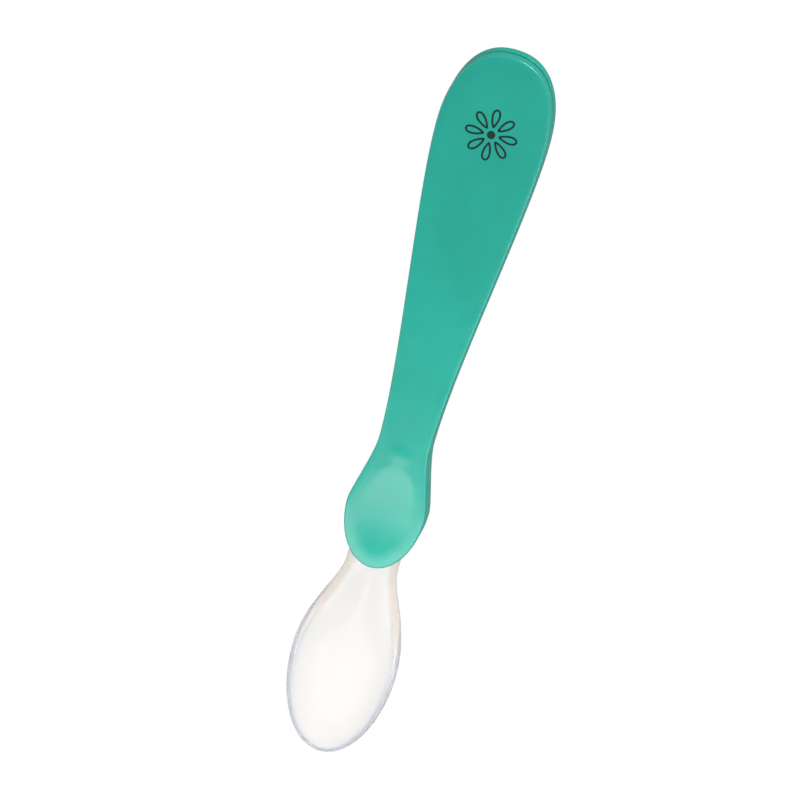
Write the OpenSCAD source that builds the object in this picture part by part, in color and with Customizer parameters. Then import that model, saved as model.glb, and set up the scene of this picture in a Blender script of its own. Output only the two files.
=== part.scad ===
// Baby feeding spoon: a hollow two-shell plastic handle that clamps the tang of a
// soft clear bowl. It lies face up on the flat of its back, in millimetres, with
// the handle's end at +Y, the bowl's tip at -Y and +Z up out of the bowl.

/* [Handle] */
// Length of the plastic handle
handle_l = 116.5; // [105:0.5:130]
// Width of the grip at its widest place
grip_w = 24.1; // [20:0.1:28]
// Distance from the handle's front end to the widest place of the grip
grip_peak = 98.5; // [88:0.5:102]
// Width of the narrow neck between the pad and the grip
neck_w = 11.2; // [10:0.1:13]
// Distance from the handle's front end to that neck
pad_l = 28.4; // [26:0.1:34]
// Width of the oval pad at the handle's front end
pad_w = 17.2; // [15:0.1:20]
// Distance from the handle's front end to the widest place of the pad
pad_peak = 13.2; // [12:0.1:15]
// Thickness of the front shell
front_t = 4; // [3.8:0.1:5]
// Thickness of the back shell
back_t = 4.4; // [4:0.1:6]
// Wall of both shells
wall = 1.6; // [1.2:0.1:1.8]
// Rounding round the front face
front_edge_r = 0.4; // [0.3:0.1:1.2]
// Rounding round the back face
back_edge_r = 1; // [0.5:0.1:1.4]

/* [Seam] */
// Width of the groove that runs round the seam of the two shells
seam_w = 1.4; // [0.4:0.1:1.8]
// Depth of that groove
seam_depth = 0.5; // [0.3:0.05:0.8]
// Thickness of the locating lip on the front shell
lip_t = 0.8; // [0.6:0.1:1]
// Height of the locating lip
lip_h = 1; // [0.6:0.1:1.6]
// Clearance between pieces that fit into each other
fit_gap = 0.1; // [0.05:0.01:0.2]

/* [Thumb dish] */
// Length of the dish in the pad
dish_l = 19; // [18:0.1:22]
// Width of the dish
dish_w = 11.3; // [8:0.1:12.5]
// Depth of the dish
dish_depth = 0.5; // [0.4:0.1:1.8]
// Distance from the handle's front end to the dish
dish_inset = 2.8; // [2:0.1:4]
// Distance from the front end of the dish to its widest place
dish_peak = 8.9; // [7:0.1:10]

/* [Posts] */
// Diameter of the posts that locate the shells
post_d = 2.4; // [1.8:0.1:2.6]
// Wall of the sockets that take them
socket_wall = 0.9; // [0.7:0.1:1.1]
// Diameter of the post that locks the tang
lock_d = 3; // [2:0.1:3.4]
// Distance from the lock post to the rear end of the tang that it holds
lock_inset = 2.8; // [2.6:0.1:3.2]
// Diameter of the two anchor pins under the dish
pin_d = 2.2; // [1.6:0.1:2.6]
// Distance between the two anchor pins
pin_gap = 7.4; // [5:0.1:8]
// Thickness of the stiffening rib
rib_t = 0.8; // [0.6:0.1:1.2]
// Height of the stiffening rib
rib_h = 1.2; // [0.6:0.1:1.8]

/* [Soft bowl] */
// How far the soft bowl reaches out of the handle
bowl_reach = 42.5; // [38:0.5:48]
// Width of the bowl at its widest place
bowl_w = 23.1; // [20:0.1:27]
// Distance from the bowl's tip to its widest place
bowl_peak = 20.6; // [17:0.1:23]
// Width of the soft neck where it enters the handle
soft_neck_w = 11.3; // [9:0.1:11.8]
// Height of the bowl's rim above the surface it lies on
rim_z = 7; // [6:0.1:8.5]
// Width of the rim round the bowl
rim_w = 1.3; // [1:0.1:1.8]
// Width of the rim at the bowl's tip
tip_rim_w = 0.8; // [0.7:0.1:1.3]
// Width of the rim on either side of the neck
neck_rim_w = 2.2; // [1.6:0.1:3]
// How far before the handle the rim starts to widen towards the neck
rim_run = 22; // [18:0.5:24]
// Over what length the rim widens
rim_flare = 12; // [8:0.5:16]
// Thickness of the bowl's floor
floor_t = 1.3; // [1:0.1:1.6]
// How far before the handle the bowl starts to turn into the neck
neck_run = 17; // [14:0.5:20]
// Over what length before the handle the bowl's hollow runs out
hollow_fade = 5; // [3:0.5:8]
// Length of the tang inside the handle
tang_l = 27.4; // [27:0.1:28.2]
// Width of the tang's head, held behind the handle's mouth
tang_head_w = 12.6; // [12:0.1:13.4]
// Width of the tang's tail
tang_tail_w = 7.6; // [7:0.1:7.8]

/* [Hidden] */

teal = [0.16, 0.66, 0.58];
clear = [0.93, 0.93, 0.9, 0.6];

total_l = handle_l + bowl_reach;
tip_y = -total_l / 2;
front_y = tip_y + bowl_reach;
seam_z = back_t;
top_z = back_t + front_t;
overrun = wall;
slack = fit_gap / 2;

// Fullness of each rounded end, where 2 is an ellipse and more is squarer
pad_bulge = 2;
grip_bulge = 2.3;
dish_bulge = 2;
tip_bulge = 2;
tail_bulge = 2;
// Lead of each side curve, as a share of its length, before and after its turn
pad_lead_shares = [0.15, 0.27];
grip_lead_shares = [0.25, 0.23];
bowl_lead_shares = [0.5, 0.26];

// Steps along each stretch of the outlines
end_steps = 14;
pad_steps = 12;
grip_steps = 24;
bowl_steps = 18;
edge_steps = 4;
dish_steps = 8;
belly_steps = 10;
rim_steps = 6;

// Places of the locating posts, as shares of the handle's length
post_shares = [0.36, 0.6, 0.86];
// Where the tang leaves its neck, reaches its head and starts to taper, as shares of its length
tang_shares = [0.26, 0.33, 0.57];
// Fullness of the soft piece's cross-section, in the round belly and the square collar
belly_bulge = 2.4;
collar_square = 5;
// Depth of the blind seat under the lock post
lock_seat = wall * 0.4;

function ease(u) = let (v = min(1, max(0, u))) v * v * (3 - 2 * v);
function mix(a, b, u) = a + (b - a) * u;
function bezier(a, b, c, d, u) =
    a * pow(1 - u, 3) + 3 * b * u * pow(1 - u, 2) + 3 * c * u * u * (1 - u) + d * pow(u, 3);

// Rounded end as [half width, distance from the widest place], pole first
function end_curve(half_w, reach, bulge) = [
    for (i = [0:end_steps])
        let (a = 90 * i / end_steps)
        [half_w * pow(sin(a), 2 / bulge), reach * pow(cos(a), 2 / bulge)]
];

// Side that runs from half width a to half width b over a length, without its first point
function side_curve(a, b, length, lead_shares, steps) = [
    for (i = [1:steps])
        let (u = i / steps)
        [bezier(a, a, b, b, u),
         bezier(0, length * lead_shares[0], length * (1 - lead_shares[1]), length, u)]
];

function shift(points, y) = [for (p = points) [p[0], p[1] + y]];
function to_front(points) = [for (p = points) [p[0], -p[1]]];
function reversed(points) = [for (i = [len(points) - 1:-1:0]) points[i]];
function tail(points) = [for (i = [1:len(points) - 1]) points[i]];
function mirrored(points) = [for (p = points) [-p[0], p[1]]];
// Right-hand side from pole to pole made into a closed outline
function closed(side) = concat(side, reversed(mirrored([for (i = [1:len(side) - 2]) side[i]])));

// Right-hand side of the handle from its front pole to its rear pole
handle_side = concat(
    shift(to_front(end_curve(pad_w / 2, pad_peak, pad_bulge)), front_y + pad_peak),
    shift(side_curve(pad_w / 2, neck_w / 2, pad_l - pad_peak, pad_lead_shares, pad_steps),
          front_y + pad_peak),
    shift(side_curve(neck_w / 2, grip_w / 2, grip_peak - pad_l, grip_lead_shares, grip_steps),
          front_y + pad_l),
    shift(tail(reversed(end_curve(grip_w / 2, handle_l - grip_peak, grip_bulge))),
          front_y + grip_peak)
);

// Same side moved in by a distance, square to the outline
function inset_side(side, d) = [
    for (i = [0:len(side) - 1])
        let (
            last = len(side) - 1,
            before = i == 0 ? [-side[1][0], side[1][1]] : side[i - 1],
            after = i == last ? [-side[last - 1][0], side[last - 1][1]] : side[i + 1],
            along = (after - before) / norm(after - before)
        )
        [max(0, side[i][0] - along[1] * d), side[i][1] + along[0] * d]
];

function between(side, y0, y1) = [for (p = side) if (p[1] > y0 && p[1] < y1) p];

// Faces that close a ring from pole to pole, joining each point to its twin across the spoon
function ladder(first, count, flip) = [
    for (j = [0:count / 2 - 1])
        let (
            a = first + j,
            b = first + j + 1,
            c = first + count - j - 1,
            d = first + (count - j) % count,
            face = j == 0 ? [a, b, c] : b == c ? [a, b, d] : [a, b, c, d]
        )
        flip ? reversed(face) : face
];

function band(first, count) = [
    for (j = [0:count - 1])
        let (k = (j + 1) % count)
        [first + j, first + count + j, first + count + k, first + k]
];

// Solid through a stack of closed rings that share a count and run upwards
module stacked(rings) {
    count = len(rings[0]);
    polyhedron(
        points = [for (ring = rings) each ring],
        faces = concat(
            ladder(0, count, false),
            [for (i = [0:len(rings) - 2]) each band(i * count, count)],
            ladder((len(rings) - 1) * count, count, true)
        ),
        convexity = 4
    );
}

function at_height(outline, z) = [for (p = outline) [p[0], p[1], z]];
function handle_ring(d, z) = at_height(closed(inset_side(handle_side, d)), z);

// Prism of the handle's outline moved in by d, between two places along it
module handle_prism(d, y0, y1, z0, z1) {
    side = between(inset_side(handle_side, d), y0, y1);
    translate([0, 0, z0])
        linear_extrude(z1 - z0)
            polygon(concat(side, reversed(mirrored(side))));
}

cavity_y0 = front_y + tang_l + wall;
cavity_y1 = front_y + handle_l;
post_places = [for (s = post_shares) front_y + handle_l * s];
lock_y = front_y + tang_l - lock_inset;
pin_y = front_y + pad_peak;
soft_neck_x = soft_neck_w / 2;

module front_body() {
    groove_z = seam_z + seam_w / 2;
    stacked(concat(
        [handle_ring(seam_depth, seam_z), handle_ring(seam_depth, groove_z), handle_ring(0, groove_z)],
        [for (i = [0:edge_steps])
            let (a = 90 * i / edge_steps)
            handle_ring(front_edge_r * (1 - cos(a)), top_z - front_edge_r * (1 - sin(a)))]
    ));
}

// Egg-shaped hollow for the thumb, carried a little above the face to cut cleanly
module dish_cut() {
    side = concat(
        to_front(end_curve(dish_w / 2, dish_peak, dish_bulge)),
        tail(reversed(end_curve(dish_w / 2, dish_l - dish_peak, dish_bulge)))
    );
    egg = closed(side);
    centre_y = front_y + dish_inset + dish_peak;
    function egg_ring(share, z) = [for (p = egg) [p[0] * share, centre_y + p[1] * share, z]];
    stacked(concat(
        [for (i = [dish_steps - 1:-1:0])
            let (a = 90 * i / dish_steps)
            egg_ring(cos(a), top_z - dish_depth * sin(a))],
        [egg_ring(1, top_z + overrun)]
    ));
}

module lip() {
    difference() {
        handle_prism(wall + fit_gap, cavity_y0, cavity_y1, seam_z - lip_h, seam_z + overrun);
        handle_prism(wall + lip_t, cavity_y0 + lip_t, cavity_y1, seam_z - lip_h - overrun, top_z);
    }
}

module front_shell() {
    color(teal) {
        difference() {
            union() {
                front_body();
                lip();
            }
            handle_prism(wall + lip_t, cavity_y0 + lip_t, cavity_y1, seam_z - overrun, top_z - wall);
            dish_cut();
        }
        for (y = post_places)
            translate([0, y, wall + fit_gap])
                cylinder(h = top_z - 2 * wall, d = post_d, $fn = 32);
        translate([0, lock_y, wall - lock_seat + fit_gap])
            cylinder(h = seam_z - wall + lock_seat, d = lock_d, $fn = 32);
    }
}

module back_body() {
    groove_z = seam_z - seam_w / 2;
    stacked(concat(
        [for (i = [0:edge_steps])
            let (a = 90 * i / edge_steps)
            handle_ring(back_edge_r * (1 - sin(a)), back_edge_r * (1 - cos(a)))],
        [handle_ring(0, groove_z), handle_ring(seam_depth, groove_z), handle_ring(seam_depth, seam_z)]
    ));
}

// Right-hand side of the tang, grown by a gap, from the handle's mouth to the tail's pole
function tang_side(gap) = concat(
    [for (k = [0:len(tang_shares) - 1])
        [(k == 0 ? soft_neck_w : tang_head_w) / 2 + gap, front_y + tang_l * tang_shares[k]]],
    shift(reversed(end_curve(tang_tail_w / 2 + gap, tang_tail_w / 2 + gap, tail_bulge)),
          front_y + tang_l - tang_tail_w / 2)
);

// Pocket for the tang, open at the handle's mouth
module tang_pocket() {
    side = concat([[soft_neck_x + fit_gap, front_y - overrun]], tang_side(fit_gap));
    translate([0, 0, wall])
        linear_extrude(back_t)
            polygon(concat(side, tail(reversed(mirrored(side)))));
}

module back_shell() {
    socket_h = seam_z - wall - fit_gap;
    socket_d = post_d + 2 * (fit_gap + socket_wall);
    color(teal) {
        difference() {
            union() {
                difference() {
                    back_body();
                    handle_prism(wall, cavity_y0 - fit_gap, cavity_y1, wall, top_z);
                }
                for (y = post_places)
                    translate([0, y, wall / 2])
                        cylinder(h = socket_h + wall / 2, d = socket_d, $fn = 32);
                translate([-rib_t / 2, post_places[0], wall / 2])
                    cube([rib_t, post_places[2] - post_places[0], rib_h + wall / 2]);
            }
            tang_pocket();
            for (y = post_places)
                translate([0, y, wall])
                    cylinder(h = back_t, d = post_d + 2 * fit_gap, $fn = 32);
            translate([0, lock_y, wall - lock_seat])
                cylinder(h = back_t, d = lock_d + 2 * fit_gap, $fn = 32);
        }
        for (x = [-pin_gap / 2, pin_gap / 2])
            translate([x, pin_y, wall / 2])
                cylinder(h = seam_z - fit_gap - wall / 2, d = pin_d, $fn = 32);
    }
}

// Heights along the soft piece: its rim, its underside and the floor of its hollow
function neck_share(y) = ease((y - front_y + neck_run) / neck_run);
function fade_share(y) = ease((y - front_y + hollow_fade) / hollow_fade);
function rim_height(y) = mix(rim_z, seam_z - slack, neck_share(y));
function belly_height(y) = mix(0, wall + slack, neck_share(y));
function hollow_height(y) = mix(belly_height(y) + floor_t, rim_height(y), fade_share(y));
function bowl_share(y) = ease((y - tip_y) / bowl_peak);
function flare_share(y) = ease((y - front_y + rim_run) / rim_flare);
function rim_width(y) = mix(mix(tip_rim_w, rim_w, bowl_share(y)), neck_rim_w, flare_share(y));
// Share of its depth that the section at y has reached at a share of the way to the middle
function section_depth(v, y) =
    let (u = min(1, v * mix(1, collar_square, neck_share(y))))
    pow(1 - pow(1 - u, belly_bulge), 1 / belly_bulge);

// Right-hand side of the soft piece from the bowl's tip to the tang's tail
soft_side = concat(
    shift(to_front(end_curve(bowl_w / 2, bowl_peak, tip_bulge)), tip_y + bowl_peak),
    shift(side_curve(bowl_w / 2, soft_neck_x, bowl_reach - bowl_peak, bowl_lead_shares, bowl_steps),
          tip_y + bowl_peak),
    tang_side(0)
);
soft_outline = closed(soft_side);

// Place on the middle line that an outline point heads for: these gather at both ends
tip_gather = bowl_peak / 2;
tail_gather = tang_tail_w / 2;
tail_y = front_y + tang_l;
function spine_y(y) =
    let (u = (y - tip_y) / (2 * tip_gather), w = (tail_y - y) / (2 * tail_gather))
    u < 1 ? y + tip_gather * pow(1 - u, 2) : w < 1 ? y - tail_gather * pow(1 - w, 2) : y;

// Share of the way to the middle line after i steps, fine at the rim where the wall is steep
function fall_share(i) = 1 - cos(84 * i / belly_steps);

function belly_ring(i) = [
    for (p = soft_outline)
        let (
            v = fall_share(i),
            y = mix(p[1], spine_y(p[1]), v),
            edge_z = rim_height(p[1]) - rim_w / 2
        )
        [p[0] * (1 - v), y, mix(edge_z, belly_height(y), section_depth(v, y))]
];

// Over the rounded rim; its inner side sinks less and less towards the neck
function rim_ring(i) = [
    for (p = soft_outline)
        let (
            a = 180 * i / rim_steps,
            heading = [0, spine_y(p[1])] - p,
            q = p + heading / norm(heading) * rim_width(p[1]) * (1 - cos(a)) / 2,
            drop = rim_w / 2 * (1 - sin(a)) * (a > 90 ? 1 - neck_share(p[1]) : 1)
        )
        [q[0], q[1], rim_height(p[1]) - drop]
];

function hollow_ring(i) = [
    for (p = soft_outline)
        let (
            v = fall_share(i) / fall_share(belly_steps),
            heading = [0, spine_y(p[1])] - p,
            start = rim_width(p[1]) / norm(heading),
            q = p + heading * mix(start, fall_share(belly_steps), v),
            edge_z = rim_height(p[1]) - rim_w / 2 * (1 - neck_share(p[1])),
            fall = mix(section_depth(v, tip_y), ease(v), flare_share(p[1]))
        )
        [q[0], q[1], mix(edge_z, min(edge_z, hollow_height(q[1])), fall)]
];

module soft_body() {
    stacked(concat(
        [for (i = [belly_steps:-1:0]) belly_ring(i)],
        [for (i = [1:rim_steps - 1]) rim_ring(i)],
        [for (i = [0:belly_steps]) hollow_ring(i)]
    ));
}

module silicone_bowl() {
    color(clear)
        difference() {
            soft_body();
            for (x = [-pin_gap / 2, pin_gap / 2])
                translate([x, pin_y, 0])
                    cylinder(h = top_z, d = pin_d + 2 * fit_gap, $fn = 32);
            translate([0, lock_y, 0])
                cylinder(h = top_z, d = lock_d + 2 * fit_gap, $fn = 32);
        }
}

front_shell();
back_shell();
silicone_bowl();
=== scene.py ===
from math import cos, hypot, pi, radians, sin

import bmesh
import bpy
from mathutils import Matrix, Vector


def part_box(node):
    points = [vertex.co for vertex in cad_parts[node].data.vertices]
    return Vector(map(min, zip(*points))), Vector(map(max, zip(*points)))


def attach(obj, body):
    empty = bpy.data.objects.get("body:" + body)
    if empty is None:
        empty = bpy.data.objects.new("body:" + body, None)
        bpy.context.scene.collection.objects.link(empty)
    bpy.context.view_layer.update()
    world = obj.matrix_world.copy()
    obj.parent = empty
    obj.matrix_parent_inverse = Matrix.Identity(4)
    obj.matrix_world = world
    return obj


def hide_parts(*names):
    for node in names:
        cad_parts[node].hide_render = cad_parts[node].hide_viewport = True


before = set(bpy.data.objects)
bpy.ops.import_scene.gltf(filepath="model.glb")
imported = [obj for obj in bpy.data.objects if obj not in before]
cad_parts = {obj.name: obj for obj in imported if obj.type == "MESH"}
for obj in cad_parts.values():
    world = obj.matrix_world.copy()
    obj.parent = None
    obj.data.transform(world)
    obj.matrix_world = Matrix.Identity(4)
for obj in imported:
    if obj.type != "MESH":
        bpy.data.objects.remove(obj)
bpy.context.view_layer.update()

# Back shell: the lower half of the handle, moulded in teal polypropylene. It has the flat
# back that the spoon lies on and the pocket for the bowl's tang, with two anchor pins in
# it, and it is welded to the front shell along a fine groove that runs all the way round.
shell_low, shell_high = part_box("back_shell")
front_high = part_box("front_shell")[1]
front_y, rear_y = shell_low.y, shell_high.y
seam_z, top_z = shell_high.z, front_high.z
grip_half = shell_high.x
grip_peak = 0.0985
grip_fullness = 2.3
grip_lead, grip_lag = 0.25, 0.23
neck_half = 0.0056
pad_half = 0.0086
pad_peak = 0.0132
pad_end = 0.0284
pad_lead, pad_lag = 0.15, 0.27
wall = 0.0016
back_edge_r = 0.001
seam_w = 0.0014
seam_depth = 0.0005
seam_edge_r = 0.00012
fit_gap = 0.0001
post_d = 0.0024
post_sides = 48
socket_wall = 0.0009
post_shares = (0.36, 0.6, 0.86)
pin_d = 0.0022
pin_gap = 0.0074
lock_d = 0.003
lock_inset = 0.0028
lock_seat = wall * 0.4
rib_t = 0.0008
rib_h = 0.0012
tang_l = 0.0274
tang_head_half = 0.0063
tang_tail_half = 0.0038
tang_shares = (0.26, 0.33, 0.57)
soft_neck_half = 0.00565
pad_end_steps = 36
pad_steps = 32
grip_steps = 64
grip_end_steps = 40
tail_steps = 16
edge_steps = 8
seam_steps = 4
back_cells = 12
pole_merge = 1e-7


def end_curve(half, reach, steps, fullness=2):
    """Rounded end as (half width, distance from the widest place), pole first."""
    turns = [pi / 2 * i / steps for i in range(steps + 1)]
    return [(half * sin(a) ** (2 / fullness), reach * cos(a) ** (2 / fullness)) for a in turns]


def side_curve(a, b, length, lead, lag, steps):
    """Side from half width a to half width b over a length, without its first point."""
    def bezier(p, q, r, s, u):
        return p * (1 - u) ** 3 + 3 * q * u * (1 - u) ** 2 + 3 * r * u * u * (1 - u) + s * u ** 3
    shares = [i / steps for i in range(1, steps + 1)]
    return [
        (bezier(a, a, b, b, u), bezier(0, lead * length, (1 - lag) * length, length, u))
        for u in shares
    ]


def moved_in(side, d):
    """The same side moved in square to itself, with its poles kept on the middle line."""
    if d == 0:
        return side
    first, last = side[1], side[-2]
    padded = [(-first[0], first[1]), *side, (-last[0], last[1])]
    moved = []
    for before, (x, y), after in zip(padded, side, padded[2:]):
        along_x, along_y = after[0] - before[0], after[1] - before[1]
        length = hypot(along_x, along_y)
        moved.append((max(0, x - along_y / length * d), y + along_x / length * d))
    return moved


def closed(side, z):
    """Closed loop of points: up the right side from the front pole and back down the left."""
    right = [Vector((x, y, z)) for x, y in side]
    left = [Vector((-x, y, z)) for x, y in side[-2:0:-1]]
    return right + left


def arc(d, z, radius, start, end, steps):
    """Arc in a wall's profile, as (inset, height), between two angles in degrees."""
    turns = [radians(start + (end - start) * i / steps) for i in range(steps + 1)]
    return [(d + radius * cos(a), z + radius * sin(a)) for a in turns]


def grow(bm, loop, ring):
    """Extrudes a closed loop of vertices and puts the new loop on the points of a ring."""
    pairs = zip(loop, loop[1:] + loop[:1])
    made = bmesh.ops.extrude_edge_only(bm, edges=[bm.edges.get(pair) for pair in pairs])
    fresh = {v for v in made["geom"] if isinstance(v, bmesh.types.BMVert)}
    grown = []
    for v, point in zip(loop, ring):
        twin = next(e.other_vert(v) for e in v.link_edges if e.other_vert(v) in fresh)
        twin.co = point
        grown.append(twin)
    return grown


def grid_cap(bm, side, across, height):
    """Fills the outline of a side with a grid at a height and returns its border in order."""
    rows = len(side) - 1
    bmesh.ops.create_grid(bm, x_segments=across, y_segments=rows, size=1)
    for v in bm.verts:
        half, y = side[round((v.co.y + 1) / 2 * rows)]
        v.co = (half * v.co.x, y, height(half * v.co.x, y))
    bmesh.ops.remove_doubles(bm, verts=bm.verts, dist=pole_merge)
    border = [min(bm.verts, key=lambda v: v.co.y)]
    while True:
        ways = [e.other_vert(border[-1]) for e in border[-1].link_edges if e.is_boundary]
        ways = [v for v in ways if v not in border]
        if not ways:
            return border
        border.append(max(ways, key=lambda v: v.co.x))


def finished(bm, name, sharp_angle=40):
    """Turns a bmesh into a smooth-shaded piece with its sharp edges marked."""
    bmesh.ops.recalc_face_normals(bm, faces=bm.faces)
    for face in bm.faces:
        face.smooth = True
    mesh = bpy.data.meshes.new(name)
    bm.to_mesh(mesh)
    bm.free()
    mesh.set_sharp_from_angle(angle=radians(sharp_angle))
    piece = bpy.data.objects.new(name, mesh)
    bpy.context.scene.collection.objects.link(piece)
    return piece


def prism(points, z0, z1):
    """Closed solid on an outline of (x, y) points between two heights."""
    bm = bmesh.new()
    face = bm.faces.new([bm.verts.new((x, y, z0)) for x, y in points])
    made = bmesh.ops.extrude_face_region(bm, geom=[face])["geom"]
    top = [v for v in made if isinstance(v, bmesh.types.BMVert)]
    bmesh.ops.translate(bm, verts=top, vec=(0, 0, z1 - z0))
    return finished(bm, "tool")


def post(x, y, z0, z1, diameter):
    """Round closed solid that stands at a place between two heights."""
    bm = bmesh.new()
    place = Matrix.Translation((x, y, (z0 + z1) / 2))
    turn = Matrix.Rotation(pi / post_sides, 4, "Z")
    bmesh.ops.create_cone(bm, cap_ends=True, segments=post_sides, radius1=diameter / 2,
                          radius2=diameter / 2, depth=z1 - z0, matrix=place @ turn)
    return finished(bm, "tool")


def combine(piece, tool, operation):
    """Cuts a solid out of a piece, or joins it on, and removes the solid."""
    step = piece.modifiers.new("step", "BOOLEAN")
    step.operation = operation
    step.solver = "EXACT"
    step.object = tool
    depsgraph = bpy.context.evaluated_depsgraph_get()
    mesh = bpy.data.meshes.new_from_object(piece.evaluated_get(depsgraph))
    piece.modifiers.clear()
    piece.data = mesh
    bpy.data.objects.remove(tool)


def mirrored(side):
    """Closed outline of (x, y) points made of a right-hand side and its mirror image."""
    return side + [(-x, y) for x, y in reversed(side) if x > 0]


def cut_side(side, y0, y1):
    """The part of a side that lies between two places along the spoon."""
    return [(x, y) for x, y in side if y0 < y < y1]


handle_side = (
    [(x, front_y + pad_peak - y) for x, y in end_curve(pad_half, pad_peak, pad_end_steps)]
    + [(x, front_y + pad_peak + y) for x, y in
       side_curve(pad_half, neck_half, pad_end - pad_peak, pad_lead, pad_lag, pad_steps)]
    + [(x, front_y + pad_end + y) for x, y in
       side_curve(neck_half, grip_half, grip_peak - pad_end, grip_lead, grip_lag, grip_steps)]
    + [(x, front_y + grip_peak + y) for x, y in
       end_curve(grip_half, rear_y - front_y - grip_peak, grip_end_steps, grip_fullness)[-2::-1]]
)


def tang_side(gap):
    """Right-hand side of the bowl's tang, grown by a gap, from the handle's mouth to its end."""
    halves = (soft_neck_half, tang_head_half, tang_head_half)
    tail = end_curve(tang_tail_half + gap, tang_tail_half + gap, tail_steps)[::-1]
    return (
        [(half + gap, front_y + tang_l * share) for half, share in zip(halves, tang_shares)]
        + [(x, front_y + tang_l - tang_tail_half + y) for x, y in tail]
    )


bm = bmesh.new()
loop = grid_cap(bm, moved_in(handle_side, back_edge_r), back_cells, lambda x, y: 0)
back_groove_z = seam_z - seam_w / 2
back_profile = (
    arc(back_edge_r, back_edge_r, back_edge_r, -90, -180, edge_steps)[1:]
    + arc(seam_edge_r, back_groove_z - seam_edge_r, seam_edge_r, 180, 90, seam_steps)
    + [(seam_depth, back_groove_z), (seam_depth, seam_z)]
)
for inset, height in back_profile:
    loop = grow(bm, loop, closed(moved_in(handle_side, inset), height))
bm.faces.new(loop)
back_shell = finished(bm, "handle_back")

cavity_y = front_y + tang_l + wall
post_places = [front_y + (rear_y - front_y) * share for share in post_shares]
lock_y = front_y + tang_l - lock_inset
pin_y = front_y + pad_peak
socket_d = post_d + 2 * (fit_gap + socket_wall)
cavity = cut_side(moved_in(handle_side, wall), cavity_y - fit_gap, rear_y)
combine(back_shell, prism(mirrored(cavity), wall, top_z), "DIFFERENCE")
for y in post_places:
    socket = post(0, y, wall / 2, seam_z - fit_gap, socket_d)
    combine(back_shell, socket, "UNION")
rib = [(rib_t / 2, post_places[0]), (rib_t / 2, post_places[2])]
combine(back_shell, prism(mirrored(rib), wall / 2, wall + rib_h), "UNION")
for y in post_places:
    combine(back_shell, post(0, y, wall, top_z, post_d + 2 * fit_gap), "DIFFERENCE")
pocket = [(soft_neck_half + fit_gap, front_y - wall)] + tang_side(fit_gap)
combine(back_shell, prism(mirrored(pocket), wall, top_z), "DIFFERENCE")
lock_bore = post(0, lock_y, wall - lock_seat, top_z, lock_d + 2 * fit_gap)
combine(back_shell, lock_bore, "DIFFERENCE")
for x in (-pin_gap / 2, pin_gap / 2):
    combine(back_shell, post(x, pin_y, wall / 2, seam_z - fit_gap, pin_d), "UNION")


def add(tree, kind, inputs=None, **settings):
    """Adds a node, sets its settings, and sets or links its input sockets."""
    made = tree.nodes.new(kind)
    for key, value in settings.items():
        setattr(made, key, value)
    for key, value in (inputs or {}).items():
        if isinstance(value, bpy.types.NodeSocket):
            tree.links.new(value, made.inputs[key])
        else:
            made.inputs[key].default_value = value
    return made


def colour(red, green, blue):
    """Linear colour from the 0 to 255 values that a screen shows."""
    shares = [value / 255 for value in (red, green, blue)]
    linear = [s / 12.92 if s < 0.04045 else ((s + 0.055) / 1.055) ** 2.4 for s in shares]
    return (*linear, 1)


def new_material(name):
    """New material, its node tree, its shader and the coordinates of the piece it is put on."""
    material = bpy.data.materials.new(name)
    material.use_nodes = True
    tree = material.node_tree
    place = add(tree, "ShaderNodeTexCoord").outputs["Object"]
    return material, tree, tree.nodes["Principled BSDF"], place


def noise(tree, place, scale, detail):
    inputs = {"Vector": place, "Scale": scale, "Detail": detail}
    return add(tree, "ShaderNodeTexNoise", inputs).outputs["Fac"]


def ramp(tree, factor, *stops):
    """Colour that turns from tone to tone, given as (factor, tone) stops."""
    made = add(tree, "ShaderNodeValToRGB", {"Fac": factor})
    elements = made.color_ramp.elements
    for i, (position, tone) in enumerate(stops):
        element = elements[i] if i < len(elements) else elements.new(position)
        element.position = position
        element.color = tone
    return made.outputs["Color"]


haze_low, haze_high = 0.3, 0.7


def uneven_gloss(tree, shader, haze, smoothest, dullest):
    """Lets the shader's roughness wander between two values with a noise."""
    gloss = add(tree, "ShaderNodeMapRange", {
        "Value": haze, "From Min": haze_low, "From Max": haze_high,
        "To Min": smoothest, "To Max": dullest})
    tree.links.new(gloss.outputs["Result"], shader.inputs["Roughness"])


teal_light = colour(16, 176, 156)
teal_dark = colour(11, 168, 148)
flow_scale = 70
flow_low, flow_high = 0.35, 0.65
haze_scale = 260
plastic_gloss = (0.2, 0.26)
grain_scale = 2600
grain_depth = 0.00002
grain_strength = 0.5
wave_scale = 120
wave_depth = 0.0001
wave_strength = 0.35
plastic_ior = 1.6


def satin_plastic(name):
    """Moulded polypropylene: a faint flow of tone, a satin gloss and a fine tool grain."""
    material, tree, shader, place = new_material(name)
    flow = noise(tree, place, flow_scale, 3)
    tone = ramp(tree, flow, (flow_low, teal_dark), (flow_high, teal_light))
    tree.links.new(tone, shader.inputs["Base Color"])
    uneven_gloss(tree, shader, noise(tree, place, haze_scale, 4), *plastic_gloss)
    grain = add(tree, "ShaderNodeBump", {
        "Height": noise(tree, place, grain_scale, 2), "Distance": grain_depth,
        "Strength": grain_strength})
    waves = add(tree, "ShaderNodeBump", {
        "Height": noise(tree, place, wave_scale, 1), "Distance": wave_depth,
        "Strength": wave_strength, "Normal": grain.outputs["Normal"]})
    tree.links.new(waves.outputs["Normal"], shader.inputs["Normal"])
    shader.inputs["IOR"].default_value = plastic_ior
    return material


back_shell.data.materials.clear()
back_shell.data.materials.append(satin_plastic("teal_plastic_back"))
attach(back_shell, "root")
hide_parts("back_shell")

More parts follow.
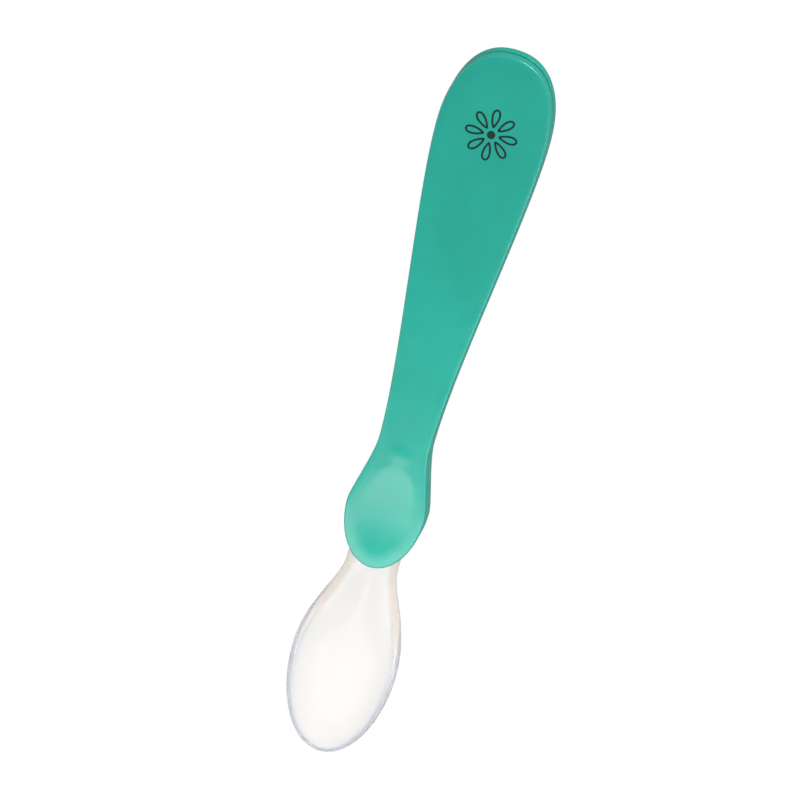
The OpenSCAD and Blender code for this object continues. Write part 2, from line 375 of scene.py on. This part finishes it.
# Soft bowl: the bowl, its neck and the tang behind it, one moulding of clear silicone with
# a rounded rim. The tang lies in the back shell's pocket, over the anchor pins and round
# the front shell's lock post, so the bowl can't be pulled out of the handle.
bowl_low, bowl_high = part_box("silicone_bowl")
tip_y, tail_y = bowl_low.y, bowl_high.y
rim_z = bowl_high.z
bowl_half = bowl_high.x
bowl_peak = 0.0206
bowl_lead, bowl_lag = 0.5, 0.26
rim_w = 0.0013
tip_rim_w = 0.0008
neck_rim_w = 0.0022
rim_run = 0.022
rim_flare = 0.012
floor_t = 0.0013
neck_run = 0.017
hollow_fade = 0.005
belly_fullness = 2.4
collar_square = 5
bowl_steps = 48
belly_steps = 18
rim_steps = 8
merge_dist = 1e-6


def mix(a, b, u):
    return a + (b - a) * u


def ease(u):
    """Smooth turn from 0 to 1 while u goes from 0 to 1."""
    u = min(1, max(0, u))
    return u * u * (3 - 2 * u)


def neck_share(y):
    """0 in the bowl and 1 in the neck, turning smoothly where one becomes the other."""
    return ease((y - front_y + neck_run) / neck_run)


def rim_height(y):
    return mix(rim_z, seam_z - fit_gap / 2, neck_share(y))


def belly_height(y):
    return mix(0, wall + fit_gap / 2, neck_share(y))


def hollow_height(y):
    """Floor of the hollow, which comes up to the rim's height just before the handle."""
    fade = ease((y - front_y + hollow_fade) / hollow_fade)
    return mix(belly_height(y) + floor_t, rim_height(y), fade)


def flare_share(y):
    """0 in the bowl and 1 where the rim has widened to its width in the neck."""
    return ease((y - front_y + rim_run) / rim_flare)


def rim_width(y):
    bowl_rim_w = mix(tip_rim_w, rim_w, ease((y - tip_y) / bowl_peak))
    return mix(bowl_rim_w, neck_rim_w, flare_share(y))


def section_depth(v, y):
    """Share of its depth that the section at y has reached at a share of the way inwards."""
    u = min(1, v * mix(1, collar_square, neck_share(y)))
    return (1 - (1 - u) ** belly_fullness) ** (1 / belly_fullness)


def spine(y):
    """Place on the middle line that a point of the outline heads for, gathered at both ends."""
    tip_share = (y - tip_y) / bowl_peak
    tail_share = (tail_y - y) / (2 * tang_tail_half)
    if tip_share < 1:
        return y + bowl_peak / 2 * (1 - tip_share) ** 2
    if tail_share < 1:
        return y - tang_tail_half * (1 - tail_share) ** 2
    return y


def fall_share(i):
    return 1 - cos(pi / 2 * i / belly_steps)


def belly_ring(outline, i):
    """Ring i of the underside, from the rim's outer edge in to the middle line."""
    v = fall_share(i)
    points = []
    for p in outline:
        edge = rim_height(p.y) - rim_w / 2
        depth = mix(edge, belly_height(p.y), section_depth(v, p.y))
        points.append(Vector((p.x * (1 - v), mix(p.y, spine(p.y), v), depth)))
    return points


def rim_ring(outline, i):
    """Ring i over the rounded rim, from its outer edge to its inner one."""
    turn = pi * i / rim_steps
    points = []
    for p in outline:
        heading = Vector((0, spine(p.y))) - p.xy
        q = p.xy + heading.normalized() * rim_width(p.y) * (1 - cos(turn)) / 2
        inner = 1 - neck_share(p.y) if turn > pi / 2 else 1
        drop = rim_w / 2 * (1 - sin(turn)) * inner
        points.append(Vector((q.x, q.y, rim_height(p.y) - drop)))
    return points


def hollow_ring(outline, i):
    """Ring i of the hollow, from the rim's inner edge down to the middle line."""
    v = fall_share(i)
    points = []
    for p in outline:
        heading = Vector((0, spine(p.y))) - p.xy
        start = rim_width(p.y) / heading.length
        q = p.xy + heading * mix(start, 1, v)
        edge = rim_height(p.y) - rim_w / 2 * (1 - neck_share(p.y))
        fall = mix(section_depth(v, tip_y), ease(v), flare_share(p.y))
        points.append(Vector((q.x, q.y, mix(edge, min(edge, hollow_height(q.y)), fall))))
    return points


bowl_length = front_y - tip_y - bowl_peak
soft_side = (
    [(x, tip_y + bowl_peak - y) for x, y in end_curve(bowl_half, bowl_peak, bowl_steps)]
    + [(x, tip_y + bowl_peak + y) for x, y in
       side_curve(bowl_half, soft_neck_half, bowl_length, bowl_lead, bowl_lag, bowl_steps)]
    + tang_side(0)
)
soft_outline = closed(soft_side, 0)
bm = bmesh.new()
edge_loop = [bm.verts.new(point) for point in belly_ring(soft_outline, 0)]
for pair in zip(edge_loop, edge_loop[1:] + edge_loop[:1]):
    bm.edges.new(pair)
loop = edge_loop
for i in range(1, belly_steps + 1):
    loop = grow(bm, loop, belly_ring(soft_outline, i))
loop = edge_loop
for i in range(1, rim_steps + 1):
    loop = grow(bm, loop, rim_ring(soft_outline, i))
for i in range(1, belly_steps + 1):
    loop = grow(bm, loop, hollow_ring(soft_outline, i))
bmesh.ops.remove_doubles(bm, verts=bm.verts, dist=merge_dist)
soft_bowl = finished(bm, "soft_bowl", sharp_angle=60)
tang_holes = ((-pin_gap / 2, pin_y, pin_d), (pin_gap / 2, pin_y, pin_d), (0, lock_y, lock_d))
for x, y, diameter in tang_holes:
    combine(soft_bowl, post(x, y, 0, top_z, diameter + 2 * fit_gap), "DIFFERENCE")


def maths(tree, operation, a, b=0):
    return add(tree, "ShaderNodeMath", {0: a, 1: b}, operation=operation).outputs[0]


def smooth_range(tree, value, start, end, low=0, high=1):
    """Smooth turn from low to high while a value goes from start to end."""
    inputs = {"Value": value, "From Min": start, "From Max": end, "To Min": low, "To Max": high}
    made = add(tree, "ShaderNodeMapRange", inputs, interpolation_type="SMOOTHSTEP")
    return made.outputs["Result"]


clear_face = colour(244, 242, 239)
# The edge tone is painted light: a bluish reflection and shade put into the silicone's colour where
# it is seen at a grazing angle.
clear_edge_painted_reflection = colour(196, 217, 254)
clear_warm = colour(243, 237, 230)
facing_low, facing_high = 0.5, 0.9
clear_haze_scale = 180
silicone_gloss = (0.16, 0.24)
clear_wave_scale = 150
clear_wave_depth = 0.00005
clear_wave_strength = 0.12
silicone_ior = 1.2
silicone_clearness = 0.78
flare_start_y = front_y - 0.0205
flare_end_y = front_y + 0.0015
band_start_y = front_y - 0.021
band_full_y = front_y - 0.009
band_edge = 0.0026
band_core = 0.0013

silicone, tree, shader, place = new_material("clear_silicone")
uneven_gloss(tree, shader, noise(tree, place, clear_haze_scale, 3), *silicone_gloss)
bump = add(tree, "ShaderNodeBump", {
    "Height": noise(tree, place, clear_wave_scale, 1), "Distance": clear_wave_depth,
    "Strength": clear_wave_strength})
tree.links.new(bump.outputs["Normal"], shader.inputs["Normal"])
# Towards grazing angles the base colour turns from the face tone to a pale blue-grey. This is a
# painted reflection of the bluish sky low down, with painted shade on the steep walls of the rim
# and the neck.
facing = add(tree, "ShaderNodeLayerWeight", {"Blend": 0.5}).outputs["Facing"]
tone = ramp(tree, facing, (facing_low, clear_face), (facing_high, clear_edge_painted_reflection))

# The silicone is thickest along both sides of the neck and looks a little warmer there, in
# a band that keeps to the outline and fades out where the bowl begins.
spot = add(tree, "ShaderNodeSeparateXYZ", {0: place})
aside = maths(tree, "ABSOLUTE", spot.outputs["X"])
reach = smooth_range(tree, spot.outputs["Y"], flare_start_y, flare_end_y, bowl_half, soft_neck_half)
thick = smooth_range(tree, maths(tree, "SUBTRACT", reach, aside), band_edge, band_core)
along = smooth_range(tree, spot.outputs["Y"], band_start_y, band_full_y)
warm = add(tree, "ShaderNodeMix", {
    0: maths(tree, "MULTIPLY", thick, along), 6: tone, 7: clear_warm},
    data_type="RGBA", blend_type="MULTIPLY")
tree.links.new(warm.outputs[2], shader.inputs["Base Color"])
shader.inputs["IOR"].default_value = silicone_ior
shader.inputs["Transmission Weight"].default_value = silicone_clearness
soft_bowl.data.materials.clear()
soft_bowl.data.materials.append(silicone)
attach(soft_bowl, "root")
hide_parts("silicone_bowl")

# Front shell: the upper half of the handle, moulded in the same teal polypropylene. Its
# face is flat with a soft roll along the edges, and a shallow dish for the thumb is sunk in
# its pad. A lip, three posts and the lock post under it locate it in the back shell.
front_edge_r = 0.0004
roll_r = 0.0086
roll_angle = 8
lip_t = 0.0008
lip_h = 0.001
dish_l = 0.019
dish_half = 0.00565
dish_depth = 0.0005
dish_inset = 0.0028
dish_peak = 0.0089
dish_edge_share = 0.3
dish_front_share = 0.95
dish_rear_share = 0.72
bump_y = front_y + 0.0256
bump_half = Vector((0.0034, 0.0026))
bump_rise = 0.00009
roll_steps = 4
face_cells = 48


def face_height(x, y):
    """Height of the face: flat, but for the dish and a faint bump behind its rear edge."""
    from_centre = y - (front_y + dish_inset + dish_peak)
    reach = dish_peak if from_centre < 0 else dish_l - dish_peak
    radius = hypot(x / dish_half, from_centre / reach)
    inside = 1 - radius * radius
    if inside < -dish_edge_share:
        sunk = 0
    elif inside < dish_edge_share:
        sunk = (inside + dish_edge_share) ** 2 / (4 * dish_edge_share)
    else:
        sunk = inside
    fullness = mix(dish_front_share, dish_rear_share, ease(from_centre / reach))
    from_bump = hypot(x / bump_half.x, (y - bump_y) / bump_half.y)
    return top_z - dish_depth * sunk ** fullness + bump_rise * ease(1 - from_bump)


roll_sin, roll_cos = sin(radians(roll_angle)), cos(radians(roll_angle))
roll_inset = front_edge_r * (1 - roll_sin) + roll_r * roll_sin
fillet_z = top_z - roll_r * (1 - roll_cos) - front_edge_r * roll_cos
front_groove_z = seam_z + seam_w / 2
front_profile = (
    arc(roll_inset, top_z - roll_r, roll_r, 90, 90 + roll_angle, roll_steps)[1:]
    + arc(front_edge_r, fillet_z, front_edge_r, 90 + roll_angle, 180, edge_steps)[1:]
    + arc(seam_edge_r, front_groove_z + seam_edge_r, seam_edge_r, 180, 270, seam_steps)
    + [(seam_depth, front_groove_z), (seam_depth, seam_z)]
)
bm = bmesh.new()
loop = grid_cap(bm, moved_in(handle_side, roll_inset), face_cells, face_height)
for inset, height in front_profile:
    loop = grow(bm, loop, closed(moved_in(handle_side, inset), height))
bm.faces.new(loop)
front_shell = finished(bm, "handle_front")
lip = cut_side(moved_in(handle_side, wall + fit_gap), cavity_y, rear_y)
combine(front_shell, prism(mirrored(lip), seam_z - lip_h, seam_z + wall / 2), "UNION")
hollow = cut_side(moved_in(handle_side, wall + lip_t), cavity_y + lip_t, rear_y)
combine(front_shell, prism(mirrored(hollow), seam_z - wall, top_z - wall), "DIFFERENCE")
for y in post_places:
    combine(front_shell, post(0, y, wall + fit_gap, top_z - wall / 2, post_d), "UNION")
lock_post = post(0, lock_y, wall - lock_seat + fit_gap, seam_z + wall / 2, lock_d)
combine(front_shell, lock_post, "UNION")
front_shell.data.materials.clear()
front_shell.data.materials.append(satin_plastic("teal_plastic_front"))
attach(front_shell, "root")
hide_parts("front_shell")

# Printed flower: a small daisy, pad printed in dark green ink on the face near the end of
# the grip. The ink is a film far thinner than a hair, laid on the plastic.
flower_y = rear_y - 0.0175
petals = 8
petal_l = 0.0042
petal_half = 0.00125
petal_start = 0.0016
petal_taper = 0.25
line_w = 0.00045
eye_r = 0.0009
ink_t = 0.00002
circle_steps = 40
ink_dark = colour(0, 40, 33)
ink_light = colour(3, 62, 51)
speckle_scale = 3000
speckle_low, speckle_high = 0.4, 0.8
ink_roughness = 0.45
ink_specular = 0.3

bm = bmesh.new()
made = bmesh.ops.create_circle(bm, cap_ends=True, segments=circle_steps, radius=1)
for v in made["verts"]:
    narrowing = 1 - petal_taper * (1 - v.co.y)
    v.co = (v.co.x * petal_half * narrowing, petal_start + petal_l * (1 + v.co.y) / 2, 0)
petal = bm.faces[:]
bmesh.ops.inset_region(bm, faces=petal, thickness=line_w, use_boundary=True,
                       use_even_offset=True)
bmesh.ops.delete(bm, geom=petal, context="FACES_ONLY")
bmesh.ops.spin(bm, geom=bm.verts[:] + bm.edges[:] + bm.faces[:], cent=(0, 0, 0), axis=(0, 0, 1),
               angle=2 * pi, steps=petals, use_duplicate=True)
bmesh.ops.remove_doubles(bm, verts=bm.verts, dist=merge_dist)
bmesh.ops.create_circle(bm, cap_ends=True, segments=circle_steps, radius=eye_r)
made = bmesh.ops.extrude_face_region(bm, geom=bm.faces[:])["geom"]
top = [v for v in made if isinstance(v, bmesh.types.BMVert)]
bmesh.ops.translate(bm, verts=top, vec=(0, 0, ink_t))
bmesh.ops.translate(bm, verts=bm.verts, vec=(0, flower_y, top_z - ink_t / 2))
flower = finished(bm, "printed_flower")
ink, tree, shader, place = new_material("dark_green_ink")
speckle = noise(tree, place, speckle_scale, 2)
tone = ramp(tree, speckle, (speckle_low, ink_dark), (speckle_high, ink_light))
tree.links.new(tone, shader.inputs["Base Color"])
shader.inputs["Roughness"].default_value = ink_roughness
shader.inputs["Specular IOR Level"].default_value = ink_specular
flower.data.materials.append(ink)
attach(flower, "root")

# Setting: a plain white floor, which the spoon lies on, and a pale sky all round. A broad
# light hangs over the bowl, a square one stands at the left, a strong one far behind the end
# of the grip, and a narrow one over the right side draws the fine line along the edge.
floor_half = 2
floor_gap = 0.00005
floor_grey = (0.35, 0.35, 0.35, 1)
floor_glow = 1.09
floor_glow_share = 0.9
white = (1, 1, 1, 1)
horizon = (0.62, 0.68, 0.78, 1)
mid_sky = (0.75, 0.75, 0.75, 1)
zenith = (0.55, 0.55, 0.55, 1)
mid_height, top_height = 0.4, 0.95
sky_light = 0.38
key_place = Vector((-0.02, -0.13, 0.16))
key_width = 0.24
key_depth = 0.13
key_power = 0.315
side_place = Vector((-0.3, 0.06, 0.1))
side_aim = Vector((0, -0.04, 0))
side_width = 0.24
side_power = 0.3
rim_place = Vector((0.18, 0.48, 0.16))
rim_aim = Vector((0, 0.05, 0))
rim_light_width = 0.22
rim_power = 2.2
edge_place = Vector((0.071, -0.02, 0.16))
edge_width = 0.032
edge_depth = 0.11
edge_power = 0.056

bm = bmesh.new()
bmesh.ops.create_grid(bm, x_segments=1, y_segments=1, size=floor_half,
                      matrix=Matrix.Translation((0, 0, -floor_gap)))
floor = finished(bm, "floor")
paper = bpy.data.materials.new("white_floor")
paper.use_nodes = True
tree = paper.node_tree
tree.nodes.remove(tree.nodes["Principled BSDF"])
rays = add(tree, "ShaderNodeLightPath").outputs
seen = maths(tree, "MAXIMUM", rays["Is Camera Ray"], rays["Is Transmission Ray"])
matt = add(tree, "ShaderNodeBsdfDiffuse", {"Color": floor_grey})
bright = add(tree, "ShaderNodeEmission", {"Color": white, "Strength": floor_glow})
blend = add(tree, "ShaderNodeMixShader", {
    0: maths(tree, "MULTIPLY", seen, floor_glow_share), 1: matt.outputs[0], 2: bright.outputs[0]})
tree.links.new(blend.outputs[0], tree.nodes["Material Output"].inputs["Surface"])
floor.data.materials.append(paper)

world = bpy.data.worlds.new("sky")
bpy.context.scene.world = world
world.use_nodes = True
tree = world.node_tree
rays = add(tree, "ShaderNodeLightPath").outputs
seen = maths(tree, "MAXIMUM", rays["Is Camera Ray"], rays["Is Glossy Ray"])
seen = maths(tree, "MAXIMUM", seen, rays["Is Transmission Ray"])
strength = add(tree, "ShaderNodeMapRange", {"Value": seen, "To Min": sky_light, "To Max": 1})
place = add(tree, "ShaderNodeTexCoord").outputs["Generated"]
height = add(tree, "ShaderNodeSeparateXYZ", {0: place}).outputs["Z"]
tone = ramp(tree, height, (0, horizon), (mid_height, mid_sky), (top_height, zenith))
sky = add(tree, "ShaderNodeMix", {0: rays["Is Camera Ray"], 6: tone, 7: white}, data_type="RGBA")
light = tree.nodes["Background"]
tree.links.new(sky.outputs[2], light.inputs["Color"])
tree.links.new(strength.outputs["Result"], light.inputs["Strength"])


def soft_light(name, place, width, depth, power, aim=None):
    """Rectangular lamp that the camera doesn't see, turned to a point or straight down."""
    if aim is None:
        aim = Vector((place.x, place.y, 0))
    data = bpy.data.lights.new(name, "AREA")
    data.shape = "RECTANGLE"
    data.size = width
    data.size_y = depth
    data.energy = power
    lamp = bpy.data.objects.new(name, data)
    lamp.location = place
    lamp.rotation_mode = "QUATERNION"
    lamp.rotation_quaternion = (aim - place).to_track_quat("-Z", "Y")
    lamp.visible_camera = False
    bpy.context.scene.collection.objects.link(lamp)


soft_light("key_light", key_place, key_width, key_depth, key_power)
soft_light("side_light", side_place, side_width, side_width, side_power, side_aim)
soft_light("rim_light", rim_place, rim_light_width, rim_light_width, rim_power, rim_aim)
soft_light("edge_light", edge_place, edge_width, edge_depth, edge_power)

# Camera: almost straight above the spoon, leaning towards the end of the grip, and turned
# so that the grip points up and a little to the right.
camera_lean = 16.4
camera_side = 14
camera_roll = 15.7
camera_distance = 8
view_width = 0.1697
view_centre = Vector((-0.0037, -0.0008, 0.0042))
clip_start = 0.01
lean, side = radians(camera_lean), radians(camera_side)
back = Vector((sin(lean) * sin(side), sin(lean) * cos(side), cos(lean)))
up = (Vector((0, 1, 0)) - back * back.y).normalized()
right = up.cross(back)
roll = radians(camera_roll)
image_up = up * cos(roll) - right * sin(roll)
image_right = right * cos(roll) + up * sin(roll)
camera_data = bpy.data.cameras.new("camera")
camera = bpy.data.objects.new("camera", camera_data)
camera_data.lens = camera_data.sensor_width * camera_distance / view_width
camera_data.clip_start = clip_start
camera.rotation_mode = "QUATERNION"
camera.rotation_quaternion = Matrix((image_right, image_up, back)).transposed().to_quaternion()
camera.location = view_centre + back * camera_distance
bpy.context.scene.collection.objects.link(camera)
bpy.context.scene.camera = camera
bpy.context.scene.view_settings.view_transform = "Standard"
